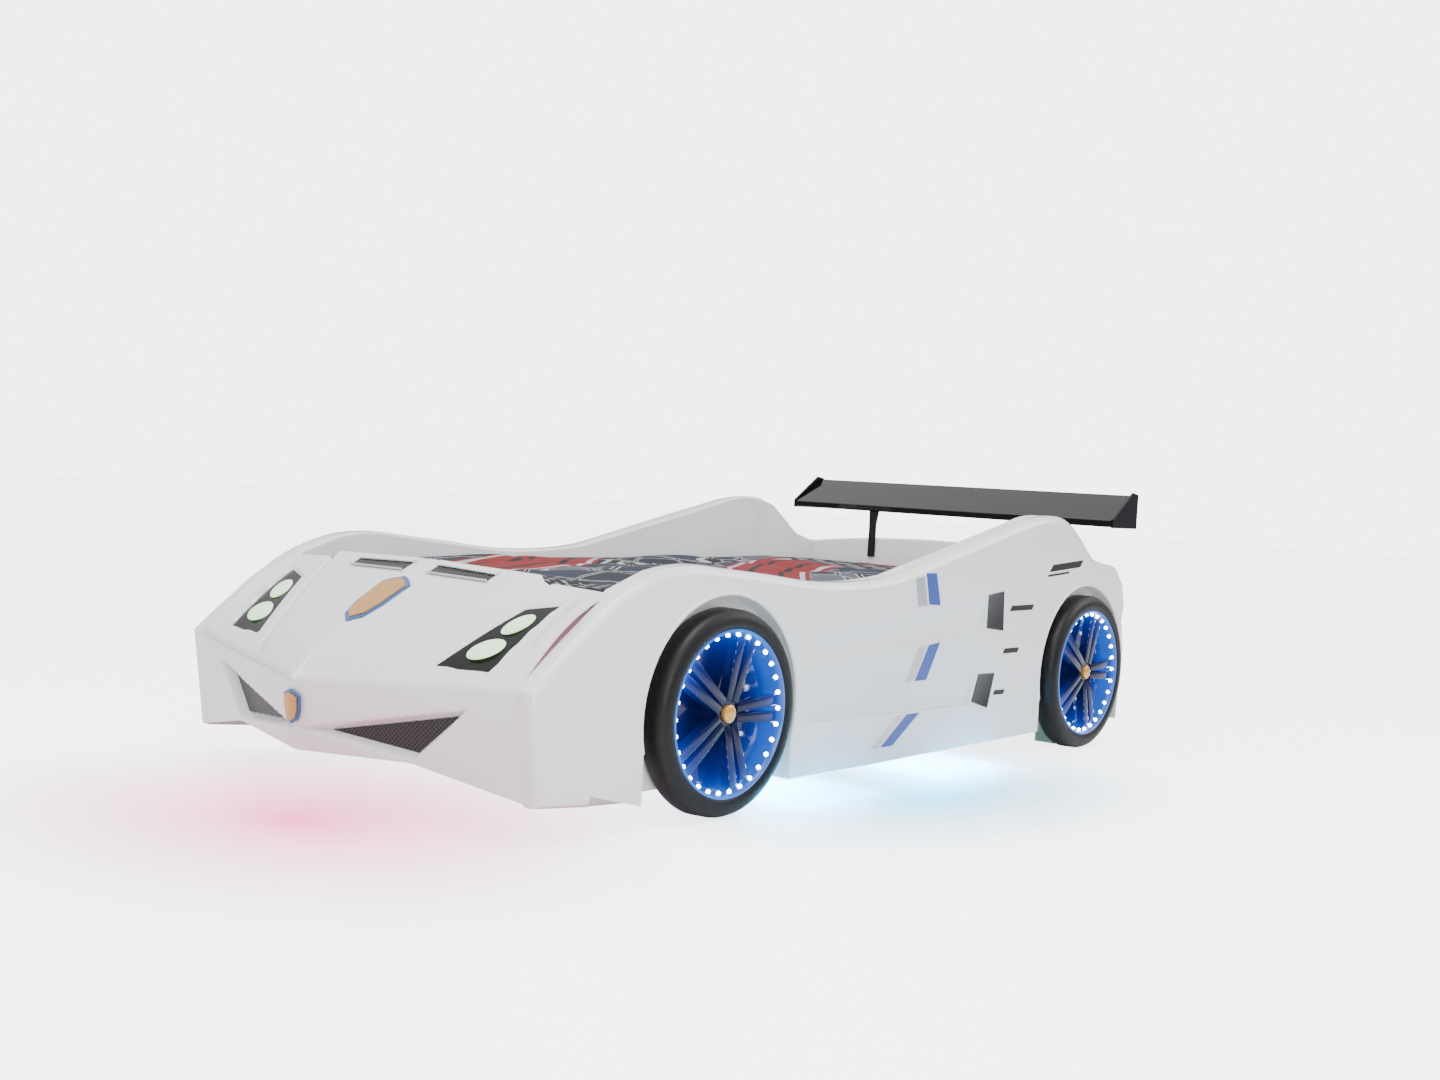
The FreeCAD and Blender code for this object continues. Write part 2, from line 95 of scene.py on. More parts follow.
surround = bpy.data.worlds.new("surround")
surround.use_nodes = True
sky = surround.node_tree
sky_place = sky.nodes.new("ShaderNodeTexCoord")
sky_split = sky.nodes.new("ShaderNodeSeparateXYZ")
sky_shade = sky.nodes.new("ShaderNodeValToRGB")
sky_shade.color_ramp.elements[0].position = 0.42
sky_shade.color_ramp.elements[0].color = (0.34, 0.35, 0.37, 1)
sky_shade.color_ramp.elements[1].position = 0.80
sky_shade.color_ramp.elements[1].color = (1.5, 1.5, 1.5, 1)
dim = sky_shade.color_ramp.elements.new(0.55)
dim.color = (0.40, 0.41, 0.44, 1)
lift = sky.nodes.new("ShaderNodeMath")
lift.operation = "MULTIPLY_ADD"
lift.inputs[1].default_value = 0.5
lift.inputs[2].default_value = 0.5
sky_seen = sky.nodes.new("ShaderNodeLightPath")
sky_mix = sky.nodes.new("ShaderNodeMix")
sky_mix.data_type = "RGBA"
sky_mix.inputs[7].default_value = (5, 5, 5, 1)
sky.links.new(sky_place.outputs["Generated"], sky_split.inputs[0])
sky.links.new(sky_split.outputs["Z"], lift.inputs[0])
sky.links.new(lift.outputs[0], sky_shade.inputs["Fac"])
sky.links.new(sky_seen.outputs["Is Camera Ray"], sky_mix.inputs[0])
sky.links.new(sky_shade.outputs["Color"], sky_mix.inputs[6])
sky.links.new(sky_mix.outputs[2], sky.nodes["Background"].inputs["Color"])
bpy.context.scene.world = surround


def lamp(name, kind, place, aim, power, tint, size):
    bpy.ops.object.light_add(type=kind, location=place)
    light = bpy.context.object
    light.name = name
    light.rotation_euler = (Vector(aim) - Vector(place)).to_track_quat("-Z", "Y").to_euler()
    light.data.energy = power
    light.data.color = tint
    if kind == "AREA":
        light.data.size = size
    else:
        light.data.shadow_soft_size = size
    return light


lamp("softbox_over", "AREA", (0.8, -0.8, 3.2), (0, 0, 0.2), 75, (1, 1, 1), 2.0)
lamp("softbox_front", "AREA", (3.0, -2.4, 1.6), (0.3, -0.2, 0.3), 52, (1, 1, 1), 1.8)
lamp("softbox_left", "AREA", (-2.8, -2.6, 1.8), (0, -0.6, 0.3), 30, (1, 0.99, 0.98), 1.6)
lamp("softbox_rear", "AREA", (2.2, 2.8, 2.0), (0.3, 0.6, 0.4), 30, (0.97, 0.98, 1), 1.6)
lamp("glow_nose", "AREA", (0.05, -1.00, 0.05), (0.05, -1.00, 0), 1.5, (1, 0.10, 0.40), 0.7)
lamp("glow_side_front", "AREA", (0.42, -0.22, 0.05), (0.42, -0.22, 0), 7, (0.10, 0.60, 1), 0.3)
lamp("glow_side_rear", "AREA", (0.42, 0.32, 0.05), (0.42, 0.32, 0), 7, (0.10, 0.60, 1), 0.3)
lamp("glow_far", "AREA", (-0.42, 0.0, 0.05), (-0.42, 0.0, 0), 5, (0.10, 0.60, 1), 0.4)

# Camera: a slightly rolled view from ahead and to the left of the car, just above its height.
yaw, pitch, roll = math.radians(40.11), math.radians(2.04), math.radians(3.39)
ahead = Vector((-math.sin(yaw) * math.cos(pitch), math.cos(yaw) * math.cos(pitch), -math.sin(pitch)))
level = Vector((math.cos(yaw), math.sin(yaw), 0))
upright = level.cross(ahead)
right = level * math.cos(roll) + upright * math.sin(roll)
up = upright * math.cos(roll) - level * math.sin(roll)
bpy.ops.object.camera_add()
camera = bpy.context.object
camera.matrix_world = Matrix((right, up, -ahead)).transposed().to_4x4()
camera.location = (2.3882, -2.8070, 0.6318)
camera.data.sensor_width = 36
camera.data.lens = 38.72
bpy.context.scene.camera = camera

# Moulded shell paint: high-gloss white plastic with a faint ripple from the mould.
# It covers the walls, the nose, the tail and the boards round the sleeping space.


class Wire:
    """A number or colour that runs along a link between two material nodes."""

    def __init__(self, finish, socket):
        self.finish = finish
        self.socket = socket

    def sum(self, operation, first, second):
        return self.finish.node("Math", {"operation": operation}, first, second)

    def __add__(self, other):
        return self.sum("ADD", self, other)

    def __sub__(self, other):
        return self.sum("SUBTRACT", self, other)

    def __rsub__(self, other):
        return self.sum("SUBTRACT", other, self)

    def __mul__(self, other):
        return self.sum("MULTIPLY", self, other)

    def __truediv__(self, other):
        return self.sum("DIVIDE", self, other)

    def __lt__(self, other):
        return self.sum("LESS_THAN", self, other)

    def __gt__(self, other):
        return self.sum("GREATER_THAN", self, other)

    __radd__ = __add__
    __rmul__ = __mul__

    def function(self, operation, other=0.0):
        return self.sum(operation, self, other)


class Finish:
    """One material: its shader, and a way to add any node with its settings and inputs."""

    def __init__(self, name, colour, roughness, metallic=0.0, coat=0.0, shine=0.5):
        self.material = bpy.data.materials.new(name)
        self.material.use_nodes = True
        self.tree = self.material.node_tree
        self.shader = self.tree.nodes["Principled BSDF"]
        self.set("Base Color", (*colour, 1))
        self.set("Roughness", roughness)
        self.set("Metallic", metallic)
        self.set("Coat Weight", coat)
        self.set("Specular IOR Level", shine)

    def set(self, name, value):
        if isinstance(value, Wire):
            self.tree.links.new(value.socket, self.shader.inputs[name])
            return
        self.shader.inputs[name].default_value = value

    def node(self, kind, settings, *inputs, output=0):
        node = self.tree.nodes.new("ShaderNode" + kind)
        for name, value in settings.items():
            setattr(node, name, value)
        for position, value in enumerate(inputs):
            if value is None:
                continue
            if isinstance(value, Wire):
                self.tree.links.new(value.socket, node.inputs[position])
                continue
            node.inputs[position].default_value = value
        return Wire(self, node.outputs[output])

    def place(self):
        """The three coordinates of the point, in metres, and the point itself."""
        point = self.node("TexCoord", {}, output=3)
        split = self.node("SeparateXYZ", {}, point)
        parts = [Wire(self, split.socket.node.outputs[index]) for index in range(3)]
        return point, *parts

    def mix(self, share, first, second):
        node = self.tree.nodes.new("ShaderNodeMix")
        node.data_type = "RGBA"
        for index, value in ((0, share), (6, first), (7, second)):
            if isinstance(value, Wire):
                self.tree.links.new(value.socket, node.inputs[index])
                continue
            node.inputs[index].default_value = value if index == 0 else (*value, 1)
        return Wire(self, node.outputs[2])

    def cloud(self, scale, detail=3.0):
        """Soft noise from 0 to 1 in the object's own coordinates."""
        point = self.node("TexCoord", {}, output=3)
        return self.node("TexNoise", {}, point, None, scale, detail)

    def bump(self, height, distance, strength=0.5):
        self.set("Normal", self.node("Bump", {}, strength, distance, None, height))


def shell_paint(name, colour):
    paint = Finish(name, colour, 0.12, coat=0.7)
    ripple = paint.cloud(9.0, 1.0)
    paint.set("Roughness", ripple * 0.07 + 0.09)
    paint.bump(ripple, 0.0012, 0.25)
    return paint.material


white_shell = shell_paint("white_shell", (0.86, 0.87, 0.88))


def paint_node(name, material, edge=0.0):
    """Gives a frame piece its finish and, if asked, softened edges."""
    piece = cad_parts[name]
    piece.data.materials.clear()
    piece.data.materials.append(material)
    if edge:
        weld = piece.modifiers.new("weld", "WELD")
        weld.merge_threshold = 0.00005
        soften = piece.modifiers.new("soften", "BEVEL")
        soften.width = edge
        soften.segments = 3
        soften.limit_method = "ANGLE"
        soften.angle_limit = math.radians(40)
        soften.harden_normals = False
    return piece


for word in ("left", "right"):
    paint_node("inner_liner_" + word, white_shell, 0.006)
paint_node("headboard_panel", white_shell, 0.005)
paint_node("footboard_panel", white_shell)
paint_node("tail_panel", white_shell, 0.004)

# Side walls: each is one moulded white panel with a wheel notch at both ends, a rolled top
# and bottom edge, and two long louvre channels pressed in between the wheels.
wall_low, wall_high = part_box("side_panel_left")
flank_x = wall_high.x
seam_x = wall_low.x
hub_height = 0.200
arch_radius = 0.225
axles = (-0.550, 0.906)
TOP_LINE = (
    (1.156, 0.250), (1.122, 0.400), (1.088, 0.468), (1.020, 0.482), (0.945, 0.498), (0.890, 0.536),
    (0.822, 0.580), (0.765, 0.600), (0.697, 0.602), (0.625, 0.594), (0.557, 0.580), (0.310, 0.522),
    (0.100, 0.472), (0.0, 0.452), (-0.121, 0.444), (-0.263, 0.446), (-0.420, 0.462), (-0.557, 0.474),
    (-0.640, 0.480), (-0.733, 0.470), (-0.838, 0.430), (-0.930, 0.365), (-1.000, 0.310), (-1.048, 0.268),
)
BOTTOM_FRONT, BOTTOM_MIDDLE = 0.046, 0.060


def smooth_line(points, steps):
    """A curve through every point, with extra points between each pair."""
    line = []
    for index in range(len(points) - 1):
        near = [Vector(points[max(0, min(len(points) - 1, index + k))]) for k in (-1, 0, 1, 2)]
        for step in range(steps):
            t = step / steps
            pull = near[1] * 2 + (near[2] - near[0]) * t
            pull += (near[0] * 2 - near[1] * 5 + near[2] * 4 - near[3]) * t * t
            pull += (near[1] * 3 - near[0] - near[2] * 3 + near[3]) * t * t * t
            line.append(tuple(pull * 0.5))
    return line + [tuple(points[-1])]


def arch(axle, low_front, low_back):
    """The notch over a wheel, from its front foot to its rear foot."""
    curve = [(axle - arch_radius * 0.96, low_front)]
    for step in range(33):
        angle = math.radians(195 - step * 210 / 32)
        curve.append((axle + arch_radius * math.cos(angle), hub_height + arch_radius * math.sin(angle)))
    return curve + [(axle + arch_radius * 0.96, low_back)]


def wall_outline():
    front = [(-1.018, 0.069), (-0.900, 0.058)]
    middle = arch(axles[0], BOTTOM_FRONT, BOTTOM_FRONT) + arch(axles[1], BOTTOM_MIDDLE, BOTTOM_MIDDLE)
    return front + middle + [(1.140, 0.062)] + smooth_line(TOP_LINE, 4)


def choose(piece, test):
    """Selects, in edit mode, the faces or edges whose corner points all pass the test."""
    bpy.ops.object.mode_set(mode="OBJECT")
    for vertex in piece.data.vertices:
        vertex.select = test(vertex.co)
    for edge in piece.data.edges:
        edge.select = all(piece.data.vertices[i].select for i in edge.vertices)
    for face in piece.data.polygons:
        face.select = all(piece.data.vertices[i].select for i in face.vertices)
    bpy.ops.object.mode_set(mode="EDIT")


def slab(name, outline, start, depth):
    """A flat outline in the Y-Z plane at x = start, thickened along X by depth."""
    bpy.ops.object.select_all(action="DESELECT")
    bpy.ops.mesh.primitive_circle_add(vertices=len(outline), fill_type="NGON")
    piece = bpy.context.object
    piece.name = name
    for vertex, (y, z) in zip(piece.data.vertices, outline):
        vertex.co = (start, y, z)
    bpy.ops.object.mode_set(mode="EDIT")
    bpy.ops.mesh.select_all(action="SELECT")
    bpy.ops.mesh.extrude_region_move(TRANSFORM_OT_translate={"value": (depth, 0, 0)})
    bpy.ops.mesh.select_all(action="SELECT")
    bpy.ops.mesh.normals_make_consistent(inside=False)
    bpy.ops.object.mode_set(mode="OBJECT")
    return piece


def carve(piece, corners):
    """Cuts a six-sided block, given by its eight corners, out of a piece."""
    bpy.ops.mesh.primitive_cube_add()
    tool = bpy.context.object
    for vertex, corner in zip(tool.data.vertices, corners):
        vertex.co = corner
    bpy.ops.object.mode_set(mode="EDIT")
    bpy.ops.mesh.select_all(action="SELECT")
    bpy.ops.mesh.normals_make_consistent(inside=False)
    bpy.ops.object.mode_set(mode="OBJECT")
    cut = piece.modifiers.new("cut", "BOOLEAN")
    cut.object = tool
    cut.solver = "EXACT"
    bpy.context.view_layer.objects.active = piece
    bpy.ops.object.modifier_apply(modifier="cut")
    bpy.data.objects.remove(tool)


def finish_piece(piece, material, body, slot, *nodes, angle=35):
    """Smooths, paints and hands a finished piece over to its body."""
    bpy.ops.object.select_all(action="DESELECT")
    piece.select_set(True)
    bpy.context.view_layer.objects.active = piece
    bpy.ops.object.shade_smooth_by_angle(angle=math.radians(angle))
    piece.data.materials.clear()
    piece.data.materials.append(material)
    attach(piece, body)
    if nodes:
        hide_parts(*nodes)
    return piece


def in_notch(point):
    return any(abs(point.y - a) < arch_radius + 0.004 and point.z < 0.43 for a in axles)


LOUVRES = (
    ((-0.285, 0.329, 0.277), (0.400, 0.405, 0.330)),
    ((-0.280, 0.212, 0.158), (0.352, 0.222, 0.150)),
)
for word, side in (("left", 1), ("right", -1)):
    wall = slab("wall_" + word, wall_outline(), seam_x * side, (flank_x - seam_x) * side)
    choose(wall, lambda p: abs(abs(p.x) - flank_x) < 0.001 and not in_notch(p))
    bpy.ops.mesh.select_mode(type="EDGE")
    bpy.ops.mesh.bevel(offset=0.022, segments=6, profile=0.55)
    bpy.ops.object.mode_set(mode="OBJECT")
    for (y0, top0, low0), (y1, top1, low1) in LOUVRES:
        deep, out = (flank_x - 0.009) * side, (flank_x + 0.02) * side
        shallow = (flank_x - 0.001) * side
        carve(wall, (
            (deep, y0, low0), (shallow, y0, top0), (deep, y1, low1), (shallow, y1, top1),
            (out, y0, low0), (out, y0, top0), (out, y1, low1), (out, y1, top1),
        ))
    finish_piece(wall, white_shell, "bed", "body_white", "side_panel_" + word)
    # the rolled lip round each wheel notch
    for end, axle in zip(("front", "rear"), axles):
        curve = bpy.data.curves.new("lip", "CURVE")
        curve.dimensions = "3D"
        curve.bevel_depth = 0.0045
        curve.bevel_resolution = 3
        curve.use_fill_caps = True
        route = arch(axle, BOTTOM_MIDDLE, BOTTOM_MIDDLE)[1:-1]
        spline = curve.splines.new("POLY")
        spline.points.add(len(route) - 1)
        for point, (y, z) in zip(spline.points, route):
            grow = 1.012
            point.co = (
                (flank_x - 0.001) * side,
                axle + (y - axle) * grow,
                hub_height + (z - hub_height) * grow,
                1,
            )
        lip = bpy.data.objects.new(f"arch_lip_{end}_{word}", curve)
        bpy.context.scene.collection.objects.link(lip)
        bpy.ops.object.select_all(action="DESELECT")
        lip.select_set(True)
        bpy.context.view_layer.objects.active = lip
        bpy.ops.object.convert(target="MESH")
        finish_piece(bpy.context.object, white_shell, "bed", "body_white", angle=60)

# Nose and bonnet: one thin white moulding, pointed at the middle, with a raised centre panel,
# a pressed groove beside each lamp and a three-cornered pocket for each lower grille.
nose_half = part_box("front_fascia")[1].x
bonnet_rear = -0.838
CREASE = ((0.0, -1.156, 0.239), (0.345, -1.075, 0.258), (0.482, -1.048, 0.268))
CHIN = ((0.0, -1.138, 0.100), (0.262, -1.085, 0.112), (0.482, -1.018, 0.069))
CROWN = ((0.0, 0.441), (0.345, 0.435), (0.482, 0.430))
FOLD = 0.34
GRILLE = ((0.070, 0.148), (0.345, 0.206), (0.262, 0.132))
LAMP = ((0.268, -1.052), (0.396, -1.034), (0.411, -0.880), (0.340, -0.904))


def along(table, x):
    """The values of a short table at a distance from the middle, straight between its rows."""
    a = min(abs(x), table[-1][0])
    for low, high in zip(table, table[1:]):
        if a <= high[0]:
            share = (a - low[0]) / (high[0] - low[0])
            return [p + (q - p) * share for p, q in zip(low[1:], high[1:])]
    return list(table[-1][1:])


def ease(value, low, high):
    t = max(0.0, min(1.0, (value - low) / (high - low)))
    return t * t * (3 - 2 * t)


def raw_nose(x, t):
    """A point of the sharp-edged moulding: t runs from the chin over the crease to the rear."""
    crease_y, crease_z = along(CREASE, x)
    if t < FOLD:
        chin_y, chin_z = along(CHIN, x)
        share = t / FOLD
        return Vector((x, chin_y + (crease_y - chin_y) * share, chin_z + (crease_z - chin_z) * share))
    share = (t - FOLD) / (1 - FOLD)
    crown = along(CROWN, x)[0]
    arc = 0.012 * math.sin(math.pi * share)
    y = crease_y + (bonnet_rear - crease_y) * share
    z = crease_z + (crown - crease_z) * share + arc
    return Vector((x, y, z))


def inside(point, corners):
    """How far a point is inside a convex outline; negative outside."""
    turn = 0
    for a, b in zip(corners, corners[1:] + corners[:1]):
        turn += a[0] * b[1] - b[0] * a[1]
    sign = 1 if turn > 0 else -1
    reach = []
    for a, b in zip(corners, corners[1:] + corners[:1]):
        edge = math.hypot(b[0] - a[0], b[1] - a[1])
        reach.append(sign * ((b[0] - a[0]) * (point[1] - a[1]) - (b[1] - a[1]) * (point[0] - a[0])) / edge)
    return min(reach)


def nose_point(x, t, dents=True):
    """The finished moulding: folds rounded over a few millimetres, then raised and pressed parts."""
    spots = [
        raw_nose(x + dx, max(0.0, min(1.0, t + dt)))
        for dx in (-0.010, 0.0, 0.010)
        for dt in (-0.022, 0, 0.022)
    ]
    point = sum(spots, Vector((0, 0, 0))) / 9
    point.x = x
    a = abs(x)
    if t > FOLD:
        panel = 0.185 + (point.y + 1.112) / 0.263 * 0.130
        front = ease(t, FOLD, FOLD + 0.10)
        point.z += 0.013 * (1 - ease(a, panel - 0.012, panel)) * front
        groove = abs(a - (panel + 0.012 + 0.03 * (1 - front)))
        point.z -= 0.004 * (1 - ease(groove, 0.0, 0.010)) * front
        point.z += 0.012 * ease(a, 0.425, 0.465) * math.sin(math.pi * min(1, (t - FOLD) / 0.66))
    if dents:
        depth = inside((a, point.z), GRILLE)
        if t < FOLD:
            point.y += 0.022 * ease(depth, -0.012, 0.0)
        depth = inside((a, point.y), LAMP)
        if t > FOLD:
            point.z -= 0.018 * ease(depth, -0.002, 0.004)
    return point


columns, rows = 240, 110
bpy.ops.object.select_all(action="DESELECT")
bpy.ops.mesh.primitive_grid_add(x_subdivisions=columns, y_subdivisions=rows, size=2)
nose = bpy.context.object
nose.name = "nose_moulding"
for vertex in nose.data.vertices:
    vertex.co = nose_point(vertex.co.x * nose_half, (vertex.co.y + 1) / 2)
thicken = nose.modifiers.new("thicken", "SOLIDIFY")
thicken.thickness = 0.004
thicken.offset = -1
bpy.ops.object.modifier_apply(modifier="thicken")
finish_piece(nose, white_shell, "bed", "body_white", "front_fascia", angle=40)


def skin_t(x, y=None, z=None):
    """Where along the moulding's profile a given plan or height position lies."""
    crease_y, crease_z = along(CREASE, x)
    if y is not None:
        return FOLD + (1 - FOLD) * (y - crease_y) / (bonnet_rear - crease_y)
    chin_z = along(CHIN, x)[1]
    return FOLD * (z - chin_z) / (crease_z - chin_z)


def skin_patch(name, corners, side, lift, on_front=False, across=24, deep=16):
    """A four-cornered patch that follows the moulding, lifted off it by a small height."""
    bpy.ops.object.select_all(action="DESELECT")
    bpy.ops.mesh.primitive_grid_add(x_subdivisions=across, y_subdivisions=deep, size=2)
    patch = bpy.context.object
    patch.name = name
    for vertex in patch.data.vertices:
        u, v = (vertex.co.x + 1) / 2, (vertex.co.y + 1) / 2
        low = Vector(corners[0]).lerp(Vector(corners[1]), u)
        high = Vector(corners[3]).lerp(Vector(corners[2]), u)
        a, b = low.lerp(high, v)
        t = skin_t(a, z=b) if on_front else skin_t(a, y=b)
        spot = nose_point(a, t, dents=False)
        spot.x *= side
        vertex.co = spot + (Vector((0, -lift, 0)) if on_front else Vector((0, -lift * 0.5, lift * 0.86)))
    bpy.ops.object.mode_set(mode="EDIT")
    bpy.ops.mesh.select_all(action="SELECT")
    if side < 0:
        bpy.ops.mesh.flip_normals()
    bpy.ops.object.mode_set(mode="OBJECT")
    body = patch.modifiers.new("body", "SOLIDIFY")
    body.thickness = 0.002
    body.offset = -1
    bpy.ops.object.modifier_apply(modifier="body")
    return patch


# Lower grilles: black plastic mesh set at the bottom of each pocket, with hexagon holes.
grille_black = Finish("grille_black", (0.02, 0.02, 0.022), 0.4)
_, gx, _, gz = grille_black.place()
weave = (gx * 700).function("SINE") * (gz * 700).function("SINE")
holes = weave > 0.25
grille_black.set("Base Color", grille_black.mix(holes, (0.022, 0.022, 0.025), (0.001, 0.001, 0.001)))
grille_black.set("Roughness", holes * 0.5 + 0.3)
grille_black.bump(1 - holes, 0.002)
for word, side in (("left", 1), ("right", -1)):
    tip, top, low = GRILLE
    mesh = skin_patch("grille_mesh_" + word, (tip, low, top, tip), side, -0.019, on_front=True)
    finish_piece(mesh, grille_black.material, "bed", "black_trim", "lower_grille_" + word)

# Headlamps: a black bezel sunk in the bonnet, holding two glowing pale-green bulbs
# behind dark inner trim.
bezel_black = Finish("bezel_black", (0.002, 0.002, 0.003), 0.12, coat=0.1, shine=0.2)
bezel_black.bump(bezel_black.cloud(60.0), 0.0006)
bulb_glow = Finish("bulb_glow", (0.75, 0.95, 0.70), 0.25)
spread = bulb_glow.cloud(26.0)
bulb_glow.set("Emission Color", bulb_glow.mix(spread, (0.10, 0.42, 0.07), (0.62, 0.90, 0.42)))
bulb_glow.set("Emission Strength", 0.9)
for word, side in (("left", 1), ("right", -1)):
    bezel = skin_patch("lamp_bezel_" + word, LAMP, side, -0.006)
    finish_piece(bezel, bezel_black.material, "bed", "black_trim", "headlight_bezel_" + word)
    bulbs = []
    corners = [Vector(p) for p in LAMP]
    for share, wide in ((0.30, 0.034), (0.68, 0.024)):
        low = corners[0].lerp(corners[3], share)
        high = corners[1].lerp(corners[2], share)
        a, b = low.lerp(high, 0.5)
        spot = nose_point(a, skin_t(a, y=b), dents=False)
        bpy.ops.object.select_all(action="DESELECT")
        bpy.ops.mesh.primitive_uv_sphere_add(segments=32, ring_count=20, radius=1)
        bulb = bpy.context.object
        for vertex in bulb.data.vertices:
            flat = Vector((vertex.co.x * wide, vertex.co.y * 0.027, vertex.co.z * 0.006))
            lean = flat.y * 0.62
            flat.x += flat.y * 0.30
            vertex.co = Vector(((spot.x + flat.x) * side, spot.y + flat.y, spot.z + flat.z + lean - 0.0055))
        if side < 0:
            bpy.ops.object.mode_set(mode="EDIT")
            bpy.ops.mesh.select_all(action="SELECT")
            bpy.ops.mesh.flip_normals()
            bpy.ops.object.mode_set(mode="OBJECT")
        bulbs.append(bulb)
    bpy.ops.object.select_all(action="DESELECT")
    for bulb in bulbs:
        bulb.select_set(True)
    bpy.context.view_layer.objects.active = bulbs[0]
    bpy.ops.object.join()
    bulbs[0].name = "lamp_bulbs_" + word
    finish_piece(bulbs[0], bulb_glow.material, "bed", "lens_clear", "headlight_lens_" + word, angle=60)

# Bonnet vents: two slim black mesh slits near the windscreen line, each under a bright lip.
bright_plate = Finish("bright_plate", (0.62, 0.64, 0.67), 0.16, metallic=1.0)
bright_plate.set("Roughness", bright_plate.cloud(80.0) * 0.1 + 0.12)
for word, side in (("left", 1), ("right", -1)):
    slit = ((0.040, -0.884), (0.205, -0.880), (0.205, -0.862), (0.040, -0.860))
    vent = skin_patch("bonnet_slit_" + word, slit, side, 0.0022)
    finish_piece(vent, grille_black.material, "bed", "black_trim", "bonnet_vent_" + word)
    lip = ((0.034, -0.888), (0.212, -0.884), (0.205, -0.880), (0.040, -0.884))
    edge = skin_patch("bonnet_slit_lip_" + word, lip, side, 0.0042, deep=3)
    finish_piece(edge, bright_plate.material, "bed", "badge_chrome")
    hood = ((0.036, -0.862), (0.210, -0.864), (0.214, -0.850), (0.032, -0.848))
    cowl = skin_patch("bonnet_slit_cowl_" + word, hood, side, 0.0065, deep=6)
    finish_piece(cowl, white_shell, "bed", "body_white")

# Badges: plain amber shields with a blue rim, one on the bonnet and a small one on the nose.
badge_face = Finish("badge_face", (0.72, 0.36, 0.06), 0.3, metallic=0.35, coat=0.6)
grain = badge_face.cloud(120.0)
badge_face.set("Base Color", badge_face.mix(grain, (0.44, 0.17, 0.015), (0.68, 0.33, 0.045)))
badge_face.bump(grain, 0.0006)
badge_rim = Finish("badge_rim", (0.006, 0.09, 0.30), 0.2, coat=0.3)
badge_rim.set("Roughness", badge_rim.cloud(90.0) * 0.1 + 0.15)
SHIELD = ((0.0, -0.5), (0.30, -0.36), (0.42, -0.10), (0.46, 0.34), (0.30, 0.42), (0.0, 0.50))


def shield(name, wide, tall, centre, lift, on_front, material, slot, *nodes):
    """A shield-shaped plate laid on the moulding."""
    half = list(SHIELD)
    outline = half + [(-a, b) for a, b in reversed(half[1:-1])]
    bpy.ops.object.select_all(action="DESELECT")
    bpy.ops.mesh.primitive_circle_add(vertices=len(outline), fill_type="TRIFAN")
    plate = bpy.context.object
    plate.name = name
    places = list(outline) + [(0.0, 0.0)]
    order = sorted(range(len(plate.data.vertices)), key=lambda i: plate.data.vertices[i].co.length < 0.01)
    for index, (u, v) in zip(order, places):
        a, b = u * wide, centre + v * tall
        t = skin_t(a, z=b) if on_front else skin_t(a, y=b)
        spot = nose_point(a, t, dents=False)
        offset = Vector((0, -lift, 0)) if on_front else Vector((0, -lift * 0.5, lift * 0.86))
        plate.data.vertices[index].co = spot + offset
    bpy.ops.object.mode_set(mode="EDIT")
    bpy.ops.mesh.select_all(action="SELECT")
    bpy.ops.mesh.normals_make_consistent(inside=False)
    bpy.ops.object.mode_set(mode="OBJECT")
    facing = sum((f.normal for f in plate.data.polygons), Vector())
    if facing.z < 0 or (on_front and facing.y > 0):
        bpy.ops.object.mode_set(mode="EDIT")
        bpy.ops.mesh.flip_normals()
        bpy.ops.object.mode_set(mode="OBJECT")
    body = plate.modifiers.new("body", "SOLIDIFY")
    body.thickness = 0.005
    body.offset = -1
    bpy.ops.object.modifier_apply(modifier="body")
    return finish_piece(plate, material, "bed", slot, *nodes)


shield(
    "bonnet_badge_rim", 0.094, 0.135, -0.975, 0.0035, False,
    badge_rim.material, "badge_chrome", "bonnet_badge",
)
shield("bonnet_badge_face", 0.080, 0.118, -0.975, 0.0055, False, badge_face.material, "badge_chrome")
shield("nose_badge_rim", 0.050, 0.064, 0.184, 0.0035, True, badge_rim.material, "badge_chrome", "nose_badge")
shield("nose_badge_face", 0.041, 0.053, 0.184, 0.0055, True, badge_face.material, "badge_chrome")

# Side vents: black mesh plates let into the wall ahead of the rear wheel, a tall one above
# a leaning one.
VENTS = (
    ("side_vent_", "vent_plate_", ((0.408, 0.330), (0.484, 0.322), (0.477, 0.417), (0.408, 0.409))),
    ("side_duct_", "duct_plate_", ((0.358, 0.158), (0.430, 0.139), (0.455, 0.221), (0.384, 0.222))),
)
side_mesh = Finish("side_mesh", (0.02, 0.02, 0.022), 0.35)
_, _, sy, sz = side_mesh.place()
slots = ((sy + sz) * 900).function("SINE") * ((sy - sz) * 900).function("SINE") > 0.15
side_mesh.set("Base Color", side_mesh.mix(slots, (0.022, 0.022, 0.025), (0.001, 0.001, 0.001)))
side_mesh.bump(1 - slots, 0.0015)
for word, side in (("left", 1), ("right", -1)):
    for node, name, corners in VENTS:
        plate = slab(name + word, corners, (flank_x - 0.002) * side, 0.0042 * side)
        choose(plate, lambda p: abs(p.x) > flank_x + 0.001)
        bpy.ops.mesh.select_mode(type="FACE")
        bpy.ops.mesh.inset(thickness=0.004, depth=-0.0015)
        bpy.ops.object.mode_set(mode="OBJECT")
        finish_piece(plate, side_mesh.material, "bed", "black_trim", node + word)

